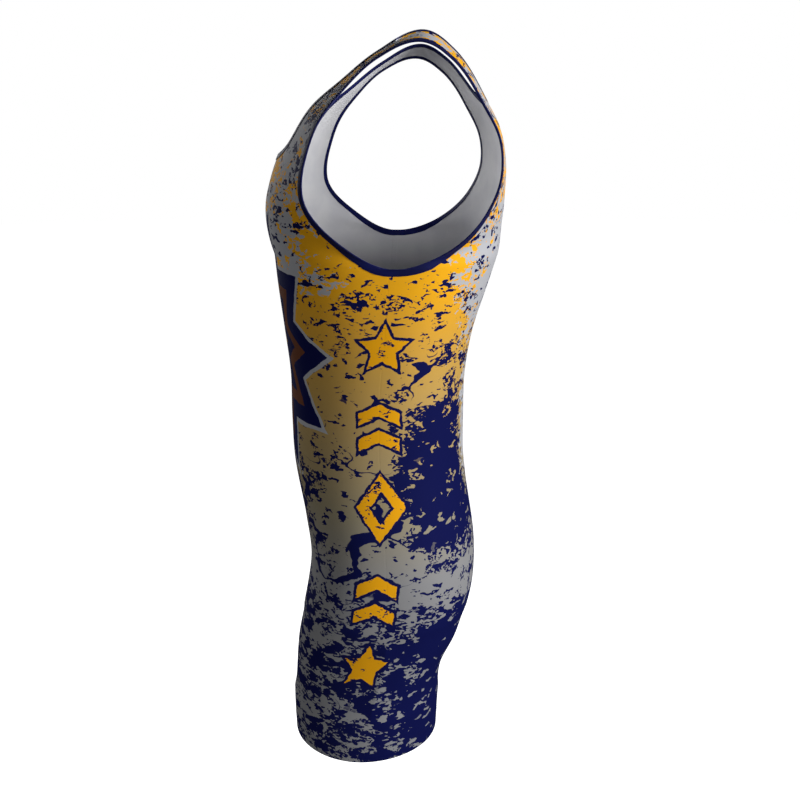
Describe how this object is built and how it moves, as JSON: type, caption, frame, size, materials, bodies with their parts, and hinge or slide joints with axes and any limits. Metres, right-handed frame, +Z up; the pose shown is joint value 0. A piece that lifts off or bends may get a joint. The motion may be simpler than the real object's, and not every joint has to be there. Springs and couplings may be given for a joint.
{
  "type": "wrestling singlet",
  "caption": "Sleeveless one-piece stretch singlet with short legs, scooped neck and bound armholes, filled out as when worn, open at neck, armholes and leg hems.",
  "frame": {"origin": "midway between the two shoulder straps, level with the top of the shoulders that hold the garment up", "axes": "+Z up along the wearer, -Y to the front, +X to the wearer's left"},
  "size_m": [0.345, 0.2525, 0.7487],
  "materials": {
    "printed_knit": "smooth stretch knit, all-over distressed splatter print in gold, tan, grey and navy outside, plain white inside",
    "binding_tape": "plain navy stretch tape folded over the edge"
  },
  "bodies": {
    "root": {"front_panel": "printed_knit", "back_panel": "printed_knit", "neck_binding": "binding_tape", "armhole_binding_left": "binding_tape", "armhole_binding_right": "binding_tape"}
  },
  "joints": []
}
